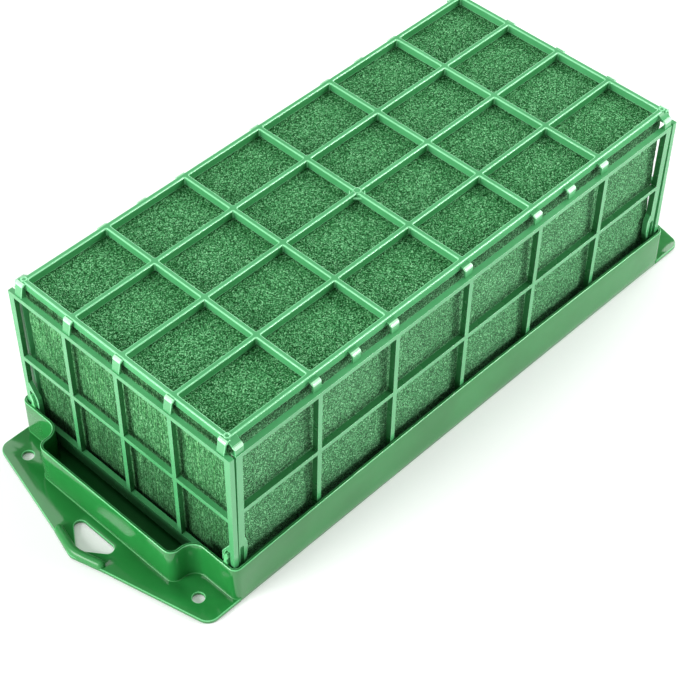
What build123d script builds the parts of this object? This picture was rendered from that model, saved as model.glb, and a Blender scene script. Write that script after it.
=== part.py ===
from build123d import *

import math
import os

# Caged floral foam brick: a shallow tray with a hang tab at each end, a brick of
# floral foam standing in it, and a moulded net cage that is clipped over the brick.
#
# Millimetres. +X runs along the brick, +Z is up, z = 0 is the underside of the tray.
# The front end is at -X, the right side is at -Y. The origin is the centre of the base.

# ---- net cage: top grid ----
CELL_LENGTH = 40.0
CELL_WIDTH = 27.0
CELLS_LONG = 6
CELLS_ACROSS = 4
CAGE_TOP = 85.2
TOP_BAR_WIDTH = 2.1
TOP_BAR_DEPTH = 3.8
CORNER_DISC_R = 1.35
CORNER_DISC_RISE = 0.3
GATE_DISC_R = 1.7
GUSSET_LEG = 4.5
GUSSET_THICKNESS = 1.0

# ---- net cage: side and end grids ----
LONG_FACE_Y = 59.3
END_FACE_X = 124.2
GRID_TOP = 79.0
GRID_BOTTOM = 6.0
GRID_BAR_WIDTH = 2.1
GRID_BAR_DEPTH = 2.6
END_BAR_DEPTH = 2.1
LONG_MIDDLE_BAR_Z = 46.4
END_MIDDLE_BAR_Z = 44.1
BOTTOM_RAIL_HEIGHT = 6.6
POST_WIDTH = 3.0
LONG_LEAN = 1.5
LONG_GRID_HALF = 121.1
END_CELL_WIDTH = 28.4
END_POST_TOP_Y = 59.3
END_POST_BOTTOM_Y = 58.2

# ---- living hinges between the top grid and the other grids ----
STRAP_WIDTH = 4.0
STRAP_THICKNESS = 0.9
STRAP_BEND_R = 1.3
LONG_STRAP_TOP = 83.5
LONG_STRAP_FACE = 57.7
CORNER_STRAP_TOP = 83.0
CORNER_STRAP_FACE = 58.9
END_STRAP_TOP = 85.0
END_STRAP_FACE = 122.8
END_STRAP_FOOT = 123.7
LONG_STRAP_X = [-80.0, -60.0, -40.0, 0.0, 40.0, 60.0, 80.0]
CORNER_STRAP_X = [-119.0, 119.0]
END_STRAP_Y = [-54.0, -27.0, 0.0, 27.0, 54.0]

# ---- latches: an eye on each end post and a hook on the tray ----
EYE_INNER_Y = 51.8
EYE_LEG = 1.1
EYE_TOP = 31.0
EYE_SHOULDER = 22.6
EYE_WINDOW_TOP = 25.8
EYE_WINDOW_SHOULDER = 22.3
HOOK_THICKNESS = 2.2
HOOK_STEM_Y = (53.4, 55.4)
HOOK_STEM_TOP = 19.6
HOOK_NECK_Y = (53.8, 54.9)
HOOK_NECK_Z = (20.5, 21.4)
HOOK_HEAD_Y = (53.8, 55.9)
HOOK_HEAD_Z = (22.3, 23.6)
HOOK_TIP_Y = (54.6, 55.3)
HOOK_TOP = 24.6
LUG_RISE = 1.3
LUG_BULGE_TOP = 27.5
LUG_BULGE_BOTTOM = 20.0
LUG_BOTTOM = 15.0
POCKET_R = 1.0
POCKET_DEPTH = 1.0
POCKET_SHIFT = 0.1

# ---- foam ----
FOAM_LENGTH = 241.2
FOAM_WIDTH = 109.0
FOAM_TOP = 81.0

# ---- tray ----
TRAY_HALF_LENGTH = 126.2
TRAY_HALF_WIDTH = 60.6
TROUGH_X = 137.2
TROUGH_HALF = 38.3
RIM_HEIGHT = 19.1
FLOOR = 1.8
WALL = 1.2
CORNER_R = 3.2
TROUGH_MOUTH_R = 5.5
TROUGH_CORNER_R = 4.2
RIM_BOW = 1.3
BASE_BOW = 0.1

# ---- hang tabs ----
TAB_THICKNESS = 1.8
TAB_CORNER_X = 139.9
TAB_CORNER_R = 5.0
TAB_BREAK = (150.9, 15.0)
TAB_TIP_X = 155.2
TAB_TIP_R = 6.0
SCREW_X = 134.6
SCREW_Y = 49.0
SCREW_R = 2.4
HANG_BASE = (140.6, 15.5)
HANG_TIP_X = 151.9
HANG_BASE_R = 2.5
HANG_TIP_R = 1.5
GRIP_WIDTH = 3.8
GRIP_HEIGHT = 2.2
GRIP_END_Y = 13.6
GRIP_CROWN_R = 1.6

X_LINES = [CELL_LENGTH * (i - CELLS_LONG / 2) for i in range(CELLS_LONG + 1)]
Y_LINES = [CELL_WIDTH * (j - CELLS_ACROSS / 2) for j in range(CELLS_ACROSS + 1)]
TOP_EDGE_X = X_LINES[-1] + TOP_BAR_WIDTH / 2
TOP_EDGE_Y = Y_LINES[-1] + TOP_BAR_WIDTH / 2
CORNERS = [("front_left", -1, 1), ("front_right", -1, -1), ("rear_left", 1, 1), ("rear_right", 1, -1)]


def block(x_range, y_range, z_range):
    """A box between two values along each axis."""
    size = [high - low for low, high in (x_range, y_range, z_range)]
    centre = [(high + low) / 2 for low, high in (x_range, y_range, z_range)]
    return Pos(*centre) * Box(*size)


def plate(points, plane, thickness):
    """A flat plate of a closed outline, extruded along the plane's normal."""
    return extrude(plane * make_face(Polyline(*points, close=True)), thickness)


def end_turn(shape, end):
    """The front end's shape, turned half a turn about Z for the rear end."""
    return shape if end < 0 else Rot(0, 0, 180) * shape


# ---------------------------------------------------------------- top grid
def top_grid():
    """The flat grid on top: bars both ways, corner discs and the moulding gate's gussets."""
    z_range = (CAGE_TOP - TOP_BAR_DEPTH, CAGE_TOP)
    half = TOP_BAR_WIDTH / 2
    bars = [block((-TOP_EDGE_X, TOP_EDGE_X), (y - half, y + half), z_range) for y in Y_LINES]
    bars += [block((x - half, x + half), (-TOP_EDGE_Y, TOP_EDGE_Y), z_range) for x in X_LINES]
    return Part() + bars + corner_discs() + disc(0, 0, GATE_DISC_R, 0) + gate_gussets()


def disc(x, y, radius, rise):
    """A round moulding mark through a bar crossing, standing a little proud of it."""
    height = TOP_BAR_DEPTH + rise
    return Pos(x, y, CAGE_TOP - TOP_BAR_DEPTH + height / 2) * Cylinder(radius, height)


def corner_discs():
    """The moulding marks at the top grid's four corners."""
    places = [(x, y) for x in (X_LINES[0], X_LINES[-1]) for y in (Y_LINES[0], Y_LINES[-1])]
    return [disc(x, y, CORNER_DISC_R, CORNER_DISC_RISE) for x, y in places]


def gate_gussets():
    """A thin diamond web that stiffens the middle crossing, half way down the bars."""
    points = [(GUSSET_LEG, 0), (0, GUSSET_LEG), (-GUSSET_LEG, 0), (0, -GUSSET_LEG)]
    web = plate(points, Plane.XY, GUSSET_THICKNESS)
    return Pos(0, 0, CAGE_TOP - (TOP_BAR_DEPTH + GUSSET_THICKNESS) / 2) * web


# ---------------------------------------------------------------- living hinges
def strap_section(edge, top, face, foot):
    """The strap's side view: out from the top grid, round the bend and down to a side grid."""
    bend = (face - STRAP_BEND_R, top - STRAP_BEND_R)
    inner_r = STRAP_BEND_R - STRAP_THICKNESS
    slant = math.sqrt(0.5)
    outer_mid = (bend[0] + STRAP_BEND_R * slant, bend[1] + STRAP_BEND_R * slant)
    inner_mid = (bend[0] + inner_r * slant, bend[1] + inner_r * slant)
    under = top - STRAP_THICKNESS
    edges = [
        Line((edge, top), (bend[0], top)),
        ThreePointArc((bend[0], top), outer_mid, (face, bend[1])),
        Line((face, bend[1]), (foot, GRID_TOP)),
        Line((foot, GRID_TOP), (foot - STRAP_THICKNESS, GRID_TOP)),
        Line((foot - STRAP_THICKNESS, GRID_TOP), (face - STRAP_THICKNESS, bend[1])),
        ThreePointArc((face - STRAP_THICKNESS, bend[1]), inner_mid, (bend[0], under)),
        Line((bend[0], under), (edge, under)),
        Line((edge, under), (edge, top)),
    ]
    return make_face(edges)


def strap(edge, top, face, foot):
    """One strap, centred on x = 0, that leads out along -Y."""
    plane = Plane((0, 0, 0), x_dir=(0, -1, 0), z_dir=(-1, 0, 0))
    return extrude(plane * strap_section(edge, top, face, foot), STRAP_WIDTH / 2, both=True)


def long_straps(side):
    """The straps along one long side; side is -1 on the right and 1 on the left."""
    turn = Rot(0, 0, 0 if side < 0 else 180)
    shape = strap(TOP_EDGE_Y, LONG_STRAP_TOP, LONG_STRAP_FACE, LONG_STRAP_FACE)
    corner = strap(TOP_EDGE_Y, CORNER_STRAP_TOP, CORNER_STRAP_FACE, CORNER_STRAP_FACE)
    straps = [turn * Pos(x, 0, 0) * shape for x in LONG_STRAP_X]
    return straps + [turn * Pos(x, 0, 0) * corner - corner_discs() for x in CORNER_STRAP_X]


def end_straps(end):
    """The straps across one end; end is -1 at the front and 1 at the rear."""
    shape = Rot(0, 0, -90) * strap(TOP_EDGE_X, END_STRAP_TOP, END_STRAP_FACE, END_STRAP_FOOT)
    return [end_turn(Pos(0, y, 0) * shape - corner_discs(), end) for y in END_STRAP_Y]


# ---------------------------------------------------------------- side and end grids
def long_grid():
    """The right side grid, upright in the XZ plane with its outer face at y = 0."""
    depth = (0, GRID_BAR_DEPTH)
    half = GRID_BAR_WIDTH / 2
    full = (-LONG_GRID_HALF, LONG_GRID_HALF)
    grid = block(full, depth, (GRID_TOP - GRID_BAR_WIDTH, GRID_TOP))
    grid += block(full, depth, (LONG_MIDDLE_BAR_Z - half, LONG_MIDDLE_BAR_Z + half))
    grid += block(full, depth, (GRID_BOTTOM, GRID_BOTTOM + BOTTOM_RAIL_HEIGHT))
    for x in X_LINES[1:-1]:
        grid += block((x - half, x + half), depth, (GRID_BOTTOM, GRID_TOP))
    for end in (-1, 1):
        x_range = sorted((end * LONG_GRID_HALF, end * (LONG_GRID_HALF - POST_WIDTH)))
        grid += block(x_range, depth, (GRID_BOTTOM, GRID_TOP))
        grid -= lug_pocket(end)
    return grid


def lug_pocket(end):
    """An arched recess in the outer face of one end post of the right side grid."""
    x = end * (LONG_GRID_HALF - POST_WIDTH / 2 + POCKET_SHIFT)
    z_range = (GRID_BOTTOM + BOTTOM_RAIL_HEIGHT, EYE_WINDOW_TOP)
    recess = block((x - POCKET_R, x + POCKET_R), (0, POCKET_DEPTH), z_range)
    arch = Rot(90, 0, 0) * Cylinder(POCKET_R, POCKET_DEPTH)
    return recess + Pos(x, POCKET_DEPTH / 2, EYE_WINDOW_TOP) * arch


def long_lug(end):
    """The low bulge that thickens one end post of the right side grid at its recess."""
    inner = LONG_GRID_HALF - POST_WIDTH
    bulge = inner - LUG_RISE
    points = [(inner, EYE_TOP), (bulge, LUG_BULGE_TOP), (bulge, LUG_BULGE_BOTTOM), (inner, LUG_BOTTOM)]
    plane = Plane((0, GRID_BAR_DEPTH, 0), x_dir=(1, 0, 0), z_dir=(0, -1, 0))
    return plate([(end * x, z) for x, z in points], plane, GRID_BAR_DEPTH)


def place_long(shape, side):
    """Lean a right side grid's piece in at the bottom and put it on its side of the cage."""
    pivot = (0, GRID_BAR_DEPTH, GRID_TOP)
    leaning = Pos(*pivot) * Rot(LONG_LEAN, 0, 0) * Pos(*(-value for value in pivot)) * shape
    placed = Pos(0, -LONG_FACE_Y, 0) * leaning
    return placed if side < 0 else mirror(placed, Plane.XZ)


def end_grid():
    """The front end grid, upright in the YZ plane with its outer face at x = -END_FACE_X."""
    depth = (-END_FACE_X, -END_FACE_X + END_BAR_DEPTH)
    half = GRID_BAR_WIDTH / 2
    inner = END_POST_TOP_Y - POST_WIDTH
    grid = block(depth, (-inner, inner), (GRID_TOP - GRID_BAR_WIDTH, GRID_TOP))
    grid += block(depth, (-inner, inner), (END_MIDDLE_BAR_Z - half, END_MIDDLE_BAR_Z + half))
    grid += block(depth, (-EYE_INNER_Y, EYE_INNER_Y), (GRID_BOTTOM, GRID_BOTTOM + BOTTOM_RAIL_HEIGHT))
    for j in (-1, 0, 1):
        y = j * END_CELL_WIDTH
        grid += block(depth, (y - half, y + half), (GRID_BOTTOM, GRID_TOP))
    for side in (-1, 1):
        grid += end_post(side)
    return grid


def end_post(side):
    """A corner post of the end grid; its outer side runs in a little towards the bottom."""
    inner = END_POST_TOP_Y - POST_WIDTH
    points = [
        (inner, GRID_TOP),
        (END_POST_TOP_Y, GRID_TOP),
        (END_POST_BOTTOM_Y, GRID_BOTTOM),
        (inner, GRID_BOTTOM),
    ]
    return plate([(side * y, z) for y, z in points], front_plane(), END_BAR_DEPTH)


def front_plane():
    """The end grid's outer face, with local x along +Y and local y up, that looks along +X."""
    return Plane((-END_FACE_X, 0, 0), x_dir=(0, 1, 0), z_dir=(1, 0, 0))


def latch_eye(side):
    """The arch beside a corner post of the front end grid, open below for the tray's hook."""
    post = END_POST_TOP_Y - POST_WIDTH
    leg = EYE_INNER_Y + EYE_LEG
    slope = (EYE_TOP - EYE_SHOULDER) / (post - EYE_INNER_Y)
    points = [
        (post, EYE_TOP),
        (EYE_INNER_Y, EYE_SHOULDER),
        (EYE_INNER_Y, GRID_BOTTOM),
        (leg, GRID_BOTTOM),
        (leg, EYE_WINDOW_SHOULDER),
        (leg + (EYE_WINDOW_TOP - EYE_WINDOW_SHOULDER) / slope, EYE_WINDOW_TOP),
        (post, EYE_WINDOW_TOP),
    ]
    return plate([(side * y, z) for y, z in points], front_plane(), END_BAR_DEPTH)


# ---------------------------------------------------------------- tray
def tray_outline(inset, bow, z):
    """The tray's outline at one height: a trough bulge at each end, long sides bowed in by bow."""
    end_x = TRAY_HALF_LENGTH - inset
    trough_x = TROUGH_X - inset
    trough_y = TROUGH_HALF - inset
    side_y = TRAY_HALF_WIDTH - inset
    corner_r = CORNER_R - inset
    mouth_r = TROUGH_MOUTH_R + inset
    trough_r = TROUGH_CORNER_R - inset
    corner_x = end_x - corner_r
    mouth_x = end_x + mouth_r
    mouth_y = trough_y + mouth_r
    half = [
        ThreePointArc((corner_x, -side_y), (0, bow - side_y), (-corner_x, -side_y)),
        CenterArc((-corner_x, corner_r - side_y), corner_r, 270, -90),
        Line((-end_x, corner_r - side_y), (-end_x, -mouth_y)),
        CenterArc((-mouth_x, -mouth_y), mouth_r, 0, 90),
        Line((-mouth_x, -trough_y), (trough_r - trough_x, -trough_y)),
        CenterArc((trough_r - trough_x, trough_r - trough_y), trough_r, 270, -90),
        Line((-trough_x, trough_r - trough_y), (-trough_x, trough_y - trough_r)),
        CenterArc((trough_r - trough_x, trough_y - trough_r), trough_r, 180, -90),
        Line((trough_r - trough_x, trough_y), (-mouth_x, trough_y)),
        CenterArc((-mouth_x, mouth_y), mouth_r, 270, 90),
        Line((-end_x, mouth_y), (-end_x, side_y - corner_r)),
        CenterArc((-corner_x, side_y - corner_r), corner_r, 180, -90),
    ]
    other_half = [Rot(0, 0, 180) * edge for edge in half]
    return Pos(0, 0, z) * make_face(half + other_half)


def tray_shell():
    """Floor and walls in one; the long walls bow in towards the rim and so hold the cage."""
    outside = loft([tray_outline(0, BASE_BOW, 0), tray_outline(0, RIM_BOW, RIM_HEIGHT)], ruled=True)
    slope = (RIM_BOW - BASE_BOW) / RIM_HEIGHT
    low = tray_outline(WALL, BASE_BOW + slope * FLOOR, FLOOR)
    high = tray_outline(WALL, RIM_BOW + slope, RIM_HEIGHT + 1)
    return outside - loft([low, high], ruled=True)


def tray_hook(side):
    """The snap hook inside the front end wall that stands in one latch eye: stem, neck and head."""
    points = [
        (HOOK_STEM_Y[0], FLOOR),
        (HOOK_STEM_Y[1], FLOOR),
        (HOOK_STEM_Y[1], HOOK_STEM_TOP),
        (HOOK_NECK_Y[1], HOOK_NECK_Z[0]),
        (HOOK_NECK_Y[1], HOOK_NECK_Z[1]),
        (HOOK_HEAD_Y[1], HOOK_HEAD_Z[0]),
        (HOOK_HEAD_Y[1], HOOK_HEAD_Z[1]),
        (HOOK_TIP_Y[1], HOOK_TOP),
        (HOOK_TIP_Y[0], HOOK_TOP),
        (HOOK_HEAD_Y[0], HOOK_HEAD_Z[0]),
        (HOOK_NECK_Y[0], HOOK_NECK_Z[1]),
        (HOOK_STEM_Y[0], HOOK_STEM_TOP),
    ]
    plane = Plane((WALL - TRAY_HALF_LENGTH, 0, 0), x_dir=(0, 1, 0), z_dir=(1, 0, 0))
    return plate([(side * y, z) for y, z in points], plane, HOOK_THICKNESS)


# ---------------------------------------------------------------- hang tabs
def tab_blank():
    """The front tab's outline: straight sides, slanting edges and a blunt tip."""
    inner_x = -TRAY_HALF_LENGTH + CORNER_R
    points = [
        (inner_x, TRAY_HALF_WIDTH),
        (-TAB_CORNER_X, TRAY_HALF_WIDTH),
        (-TAB_BREAK[0], TAB_BREAK[1]),
        (-TAB_TIP_X, 0),
        (-TAB_BREAK[0], -TAB_BREAK[1]),
        (-TAB_CORNER_X, -TRAY_HALF_WIDTH),
        (inner_x, -TRAY_HALF_WIDTH),
    ]
    face = make_face(Polyline(*points, close=True))
    face = fillet(near(face, TAB_CORNER_X, TRAY_HALF_WIDTH), TAB_CORNER_R)
    return fillet(near(face, TAB_TIP_X, 0), TAB_TIP_R)


def near(face, x, y):
    """The outline's vertices at the front end that lie at this distance out and to the sides."""
    return [v for v in face.vertices() if abs(v.X + x) < 0.01 and abs(abs(v.Y) - y) < 0.01]


def hang_opening():
    """The rounded triangle that the tab hangs from."""
    points = [(-HANG_BASE[0], HANG_BASE[1]), (-HANG_TIP_X, 0), (-HANG_BASE[0], -HANG_BASE[1])]
    face = make_face(Polyline(*points, close=True))
    face = fillet(near(face, *HANG_BASE), HANG_BASE_R)
    return fillet(near(face, HANG_TIP_X, 0), HANG_TIP_R)


def hang_tab():
    """The front tab: a flat flange round the trough, with two screw holes and the hang opening."""
    tab = extrude(tab_blank(), TAB_THICKNESS)
    tab -= extrude(Pos(0, 0, -1) * hang_opening(), TAB_THICKNESS + 2)
    for y in (-SCREW_Y, SCREW_Y):
        tab -= Pos(-SCREW_X, y, 0) * Cylinder(SCREW_R, TAB_THICKNESS * 4)
    return tab - extrude(tray_outline(0, BASE_BOW, -1), TAB_THICKNESS + 2)


def grip_bar():
    """The rounded V-shaped bar on top of the front tab's tip."""
    break_x, break_y = TAB_BREAK
    slope = (TAB_TIP_X - break_x) / break_y
    run = GRIP_WIDTH * math.sqrt(1 + slope * slope)
    end_x = TAB_TIP_X - slope * GRIP_END_Y
    points = [
        (-end_x, GRIP_END_Y),
        (-TAB_TIP_X, 0),
        (-end_x, -GRIP_END_Y),
        (-end_x + GRIP_WIDTH, -GRIP_END_Y + GRIP_WIDTH * slope),
        (-TAB_TIP_X + run, 0),
        (-end_x + GRIP_WIDTH, GRIP_END_Y - GRIP_WIDTH * slope),
    ]
    face = make_face(Polyline(*points, close=True))
    face = fillet(near(face, TAB_TIP_X, 0), TAB_TIP_R)
    bar = extrude(Pos(0, 0, TAB_THICKNESS) * face, GRIP_HEIGHT)
    return fillet(bar.faces().sort_by(Axis.Z)[-1].edges(), GRIP_CROWN_R)


# ---------------------------------------------------------------- foam
def foam_brick():
    """The brick of floral foam that stands on the tray's floor."""
    return block(
        (-FOAM_LENGTH / 2, FOAM_LENGTH / 2),
        (-FOAM_WIDTH / 2, FOAM_WIDTH / 2),
        (FLOOR, FOAM_TOP),
    )


def write(name, shape):
    """Write one node's solids as one STEP file."""
    solids = shape if isinstance(shape, list) else [shape]
    bodies = [solid for item in solids for solid in item.solids()]
    export_step(Compound(children=bodies) if len(bodies) > 1 else bodies[0], f"parts/{name}.step")


def main():
    os.makedirs("parts", exist_ok=True)
    write("tray_shell", tray_shell())
    write("foam_brick", foam_brick())
    write("top_grid", top_grid())
    for end_name, end in (("front", -1), ("rear", 1)):
        write(f"{end_name}_hang_tab", end_turn(hang_tab(), end))
        write(f"{end_name}_grip_bar", end_turn(grip_bar(), end))
        write(f"{end_name}_hinge_straps", end_straps(end))
        write(f"{end_name}_end_grid", end_turn(end_grid(), end))
    for side_name, side in (("right", -1), ("left", 1)):
        write(f"{side_name}_hinge_straps", long_straps(side))
        write(f"{side_name}_side_grid", place_long(long_grid(), side))
    for corner, end, side in CORNERS:
        turned_side = side if end < 0 else -side
        write(f"{corner}_hook", end_turn(tray_hook(turned_side), end))
        write(f"{corner}_latch_eye", end_turn(latch_eye(turned_side), end))
        write(f"{corner}_latch_lug", place_long(long_lug(end), side))


main()
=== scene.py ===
import math

import bmesh
import bpy
import numpy as np
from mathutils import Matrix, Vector, noise


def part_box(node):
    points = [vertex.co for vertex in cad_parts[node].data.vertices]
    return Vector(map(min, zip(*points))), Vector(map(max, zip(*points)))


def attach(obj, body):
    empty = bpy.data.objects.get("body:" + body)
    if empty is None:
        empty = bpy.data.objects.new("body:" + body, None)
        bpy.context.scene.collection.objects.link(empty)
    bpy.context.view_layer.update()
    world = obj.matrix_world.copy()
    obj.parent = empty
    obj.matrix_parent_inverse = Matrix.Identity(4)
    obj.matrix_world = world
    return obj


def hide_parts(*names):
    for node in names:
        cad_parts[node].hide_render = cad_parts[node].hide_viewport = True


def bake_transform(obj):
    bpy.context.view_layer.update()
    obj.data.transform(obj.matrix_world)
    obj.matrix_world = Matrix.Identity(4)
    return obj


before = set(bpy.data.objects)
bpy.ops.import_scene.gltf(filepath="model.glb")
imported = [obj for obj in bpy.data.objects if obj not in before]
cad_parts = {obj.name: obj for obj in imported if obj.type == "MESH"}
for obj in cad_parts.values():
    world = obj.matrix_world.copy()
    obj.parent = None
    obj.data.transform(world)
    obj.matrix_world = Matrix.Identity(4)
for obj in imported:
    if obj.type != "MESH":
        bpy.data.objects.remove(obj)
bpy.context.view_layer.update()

MM = 0.001


# ------------------------------------------------------------------ sizes, read from the frame
def box_mm(node):
    """A CAD node's lowest and highest corners, in millimetres."""
    low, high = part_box(node)
    return np.array(low) / MM, np.array(high) / MM


TOP_LOW, TOP_HIGH = box_mm("top_grid")
SHELL_HIGH = box_mm("tray_shell")[1]
TAB_HIGH = box_mm("front_hang_tab")[1]
FOAM_LOW, FOAM_HIGH = box_mm("foam_brick")
SIDE_LOW, SIDE_HIGH = box_mm("right_side_grid")
END_LOW, END_HIGH = box_mm("front_end_grid")
STRAPS_LOW, STRAPS_HIGH = box_mm("right_hinge_straps")
END_STRAPS_LOW, END_STRAPS_HIGH = box_mm("front_hinge_straps")
GRIP_HIGH = box_mm("front_grip_bar")[1]

# net cage, in millimetres
BAR = 2.1
BAR_DEPTH = 2.6
BAR_EDGE = 0.46
BAR_CROWN = 0.03
LUG_EDGE = 0.28
EYE_EDGE = 0.26
DISC_R = 1.35
DISC_RISE = 0.3
GATE_R = 1.7
GATE_RISE = 0.14
WEB_REACH = 4.5
WEB_T = 1.1
WEB_SINK = 1.3
EDGE_X = TOP_HIGH[0] - (DISC_R - BAR / 2)
EDGE_Y = TOP_HIGH[1] - (DISC_R - BAR / 2)
CAGE_TOP = TOP_HIGH[2] - DISC_RISE
TOP_DEPTH = CAGE_TOP - TOP_LOW[2]
X_LINES = np.linspace(-(EDGE_X - BAR / 2), EDGE_X - BAR / 2, 7)
Y_LINES = np.linspace(-(EDGE_Y - BAR / 2), EDGE_Y - BAR / 2, 5)
GRID_TOP = END_HIGH[2]
GRID_BOTTOM = END_LOW[2]
RAIL = 6.6
SIDE_MIDDLE_Z = 46.4
END_MIDDLE_Z = 44.1
END_DEPTH = END_HIGH[0] - END_LOW[0]
POST = 3.0
SIDE_HALF = SIDE_HIGH[0]
SIDE_FACE = -SIDE_LOW[1]
LEAN = math.radians(1.5)
END_FACE = -END_LOW[0]
END_POST_Y = END_HIGH[1]
END_POST_TAPER = 1.1
END_CELL = 28.4
EYE_INNER = 51.8
ARCH_R = 1.0
ARCH_SPRING = 25.8

STRAP_T = 0.9
STRAP_WIDE = 4.2
STRAP_LAND = 3.7
STRAP_BEND = 1.3
STRAP_EDGE = 0.22
END_STRAP_FACE = 122.8
END_STRAP_Y = [-54.0, -27.0, 0.0, 27.0, 54.0]
LONG_STRAP_FACE = 57.7
LONG_STRAP_X = [-80.0, -60.0, -40.0, 0.0, 40.0, 60.0, 80.0]
CORNER_STRAP_X = [-119.0, 119.0]
CORNER_STRAP_FROM = 100.0
CORNER_STRAP_TOP = 83.0
CORNER_STRAP_DROOP = 1.5

# tray, in millimetres
RIM = SHELL_HIGH[2]
FLOOR = FOAM_LOW[2]
WALL = 1.2
TAB_T = TAB_HIGH[2]
HALF_L = 126.2
HALF_W = SHELL_HIGH[1]
TROUGH_X = SHELL_HIGH[0]
TROUGH_HALF_W = 38.3
CORNER_R = 3.2
TROUGH_MOUTH_R = 5.5
TROUGH_CORNER_R = 4.2
BOW_AT_FOOT = 0.1
BOW_GROWTH = 1.2
LONG_SIDE_STEPS = 32
TAB_TIP_X = 155.2
TAB_BREAK = (150.9, 15.0)
TAB_ROOT_X = 124.0
TAB_SHOULDER_X = 139.9
TAB_FOOT = 0.03
TAB_EDGE_R = 0.3
OPENING_X = (140.6, 151.9)
OPENING_HALF_W = 15.5
SCREW_X, SCREW_Y, SCREW_R = 134.6, 49.0, 2.4
GRIP_WIDTH = 3.8
GRIP_TIP_SOFT = 2.4
GRIP_TIP_SHIFT = 0.9
HOOK_T = 2.2
HOOK_EDGE = 0.22

# camera, in metres and as a direction
CAMERA_PLACE = (-0.3988, -0.3783, 0.5829)
CAMERA_FORWARD = (0.4928, 0.4791, -0.7264)
CAMERA_LENS = 102.2


# ------------------------------------------------------------------ materials
def node_material(name):
    """A new material, its node tree and its Principled shader."""
    mat = bpy.data.materials.new(name)
    mat.use_nodes = True
    tree = mat.node_tree
    tree.nodes.clear()
    out = tree.nodes.new("ShaderNodeOutputMaterial")
    shader = tree.nodes.new("ShaderNodeBsdfPrincipled")
    tree.links.new(shader.outputs["BSDF"], out.inputs["Surface"])
    return mat, tree, shader


def noise_node(tree, scale, detail, vector, roughness=0.5):
    """A 3-D noise texture read at the given vector."""
    node = tree.nodes.new("ShaderNodeTexNoise")
    node.inputs["Scale"].default_value = scale
    node.inputs["Detail"].default_value = detail
    node.inputs["Roughness"].default_value = roughness
    tree.links.new(vector, node.inputs["Vector"])
    return node.outputs["Fac"]


def cell_node(tree, scale, vector):
    """A 3-D pattern of small cells: each cell's own random value, and the distance to its middle."""
    node = tree.nodes.new("ShaderNodeTexVoronoi")
    node.inputs["Scale"].default_value = scale
    tree.links.new(vector, node.inputs["Vector"])
    split = tree.nodes.new("ShaderNodeSeparateColor")
    tree.links.new(node.outputs["Color"], split.inputs["Color"])
    return split.outputs["Red"], node.outputs["Distance"]


def ramp(tree, value, stops):
    """A colour ramp over a value; stops are (position, colour)."""
    node = tree.nodes.new("ShaderNodeValToRGB")
    elements = node.color_ramp.elements
    while len(elements) < len(stops):
        elements.new(0.5)
    for element, (position, colour) in zip(elements, stops):
        element.position = position
        element.color = (*colour, 1)
    tree.links.new(value, node.inputs["Fac"])
    return node.outputs["Color"]


def remap(tree, value, low, high, to_low, to_high):
    """A clamped linear map of a value."""
    node = tree.nodes.new("ShaderNodeMapRange")
    for socket, number in zip(("From Min", "From Max", "To Min", "To Max"), (low, high, to_low, to_high)):
        node.inputs[socket].default_value = number
    tree.links.new(value, node.inputs["Value"])
    return node.outputs["Result"]


def bump(tree, height, strength, distance, below=None):
    """A bump on top of the normal below it."""
    node = tree.nodes.new("ShaderNodeBump")
    node.inputs["Strength"].default_value = strength
    node.inputs["Distance"].default_value = distance
    tree.links.new(height, node.inputs["Height"])
    if below is not None:
        tree.links.new(below, node.inputs["Normal"])
    return node.outputs["Normal"]


def mix_colour(tree, factor, a, b, blend_type="MIX"):
    """Two colours mixed; factor may be a socket or a number."""
    node = tree.nodes.new("ShaderNodeMix")
    node.data_type = "RGBA"
    node.blend_type = blend_type
    if isinstance(factor, float):
        node.inputs["Factor"].default_value = factor
    else:
        tree.links.new(factor, node.inputs["Factor"])
    for socket, value in ((node.inputs["A"], a), (node.inputs["B"], b)):
        if isinstance(value, tuple):
            socket.default_value = (*value, 1)
        else:
            tree.links.new(value, socket)
    return node.outputs["Result"]


def times(tree, a, b):
    """Two colours multiplied."""
    return mix_colour(tree, 1.0, a, b, "MULTIPLY")


def stretched(tree, coords, tall):
    """Coordinates that make a pattern taller: the smaller the number, the longer its upright streaks."""
    node = tree.nodes.new("ShaderNodeMapping")
    node.inputs["Scale"].default_value = (1.0, 1.0, tall)
    tree.links.new(coords, node.inputs["Vector"])
    return node.outputs["Vector"]


def plastic(name, dark, mid, light, rough_low, rough_high, gloss):
    """Glossy injection-moulded polypropylene: faint flow clouds, a fine mould grain and uneven gloss."""
    mat, tree, shader = node_material(name)
    place = tree.nodes.new("ShaderNodeTexCoord").outputs["Object"]
    clouds = noise_node(tree, 28, 3, place)
    streaks = noise_node(tree, 160, 2, place)
    colour = ramp(tree, clouds, [(0.28, dark), (0.52, mid), (0.78, light)])
    shader.inputs["IOR"].default_value = 1.49
    shader.inputs["Specular IOR Level"].default_value = gloss
    tint = ramp(tree, streaks, [(0.3, (0.93, 0.95, 0.93)), (0.7, (1.0, 1.0, 1.0))])
    tree.links.new(times(tree, colour, tint), shader.inputs["Base Color"])
    smears = noise_node(tree, 90, 4, place)
    roughness = remap(tree, smears, 0.3, 0.7, rough_low, rough_high)
    tree.links.new(roughness, shader.inputs["Roughness"])
    waves = bump(tree, noise_node(tree, 60, 1, place), 0.10, 0.0012)
    grain = bump(tree, noise_node(tree, 2600, 2, place), 0.03, 0.0001, waves)
    tree.links.new(grain, shader.inputs["Normal"])
    return mat


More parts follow.
